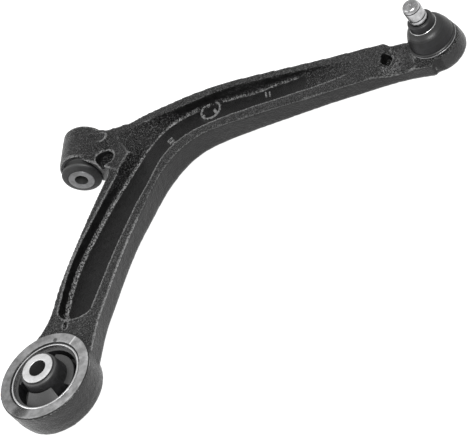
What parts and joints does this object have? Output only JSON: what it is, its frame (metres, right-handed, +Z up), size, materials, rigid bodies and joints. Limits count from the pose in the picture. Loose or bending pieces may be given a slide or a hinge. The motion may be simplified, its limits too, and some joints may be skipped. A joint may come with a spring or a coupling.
{
  "type": "suspension control arm",
  "caption": "L-shaped cast lower control arm with a horizontal front bush, a large vertical rear bush and a booted ball joint at the outer end.",
  "frame": {"origin": "middle of the front bush's bore", "axes": "+Y along the front bush's bore, from the rear bush toward the front bush; +X toward the ball joint; +Z up, along the rear bush's bore and the ball stud"},
  "size_m": [0.4352, 0.3362, 0.0848],
  "materials": {
    "black_casting": "satin black paint over a sand-cast skin, bare machined top on the rear boss",
    "shell_steel": "bare steel",
    "grey_steel": "phosphated steel",
    "plated_steel": "zinc plated",
    "wire_steel": "bright wire",
    "bush_rubber": "matt",
    "boot_rubber": "semi-matt",
    "seat_plastic": "natural polymer"
  },
  "bodies": {
    "arm": {"arm_casting": "black_casting", "front_bush_outer_sleeve": "shell_steel", "front_bush_rubber": "bush_rubber", "rear_bush_outer_sleeve": "shell_steel", "rear_bush_rubber": "bush_rubber", "ball_seat_upper": "seat_plastic", "ball_seat_lower": "seat_plastic", "housing_cap": "shell_steel", "dust_boot": "boot_rubber", "boot_base_ring": "wire_steel"},
    "front_sleeve": {"front_bush_inner_sleeve": "grey_steel"},
    "rear_sleeve": {"rear_bush_inner_sleeve": "plated_steel"},
    "stud_carrier": {"boot_neck_ring": "wire_steel"},
    "stud": {"ball_stud": "plated_steel"}
  },
  "joints": [
    {"name": "front_bush_twist", "type": "hinge", "parent": "arm", "child": "front_sleeve", "pos_m": [0, 0, 0], "axis": [0, 1, 0], "range_deg": [-15, 15], "stiffness_Nm_per_rad": 20},
    {"name": "rear_bush_rock", "type": "hinge", "parent": "arm", "child": "rear_sleeve", "pos_m": [0, -0.2577, 0], "axis": [0, 1, 0], "range_deg": [-15, 15], "stiffness_Nm_per_rad": 20, "deforming": ["rear_bush_rubber"]},
    {"name": "ball_swing", "type": "hinge", "parent": "arm", "child": "stud_carrier", "pos_m": [0.3648, 0.0065, 0.004], "axis": [0, 1, 0], "range_deg": [-25, 25], "deforming": ["dust_boot"]},
    {"name": "stud_spin", "type": "hinge", "parent": "stud_carrier", "child": "stud", "pos_m": [0.3648, 0.0065, 0.004], "axis": [0, 0, 1], "continuous": true}
  ],
  "couplings": [
    {"joint": "rear_bush_rock", "follows": "front_bush_twist", "ratio": 1}
  ]
}
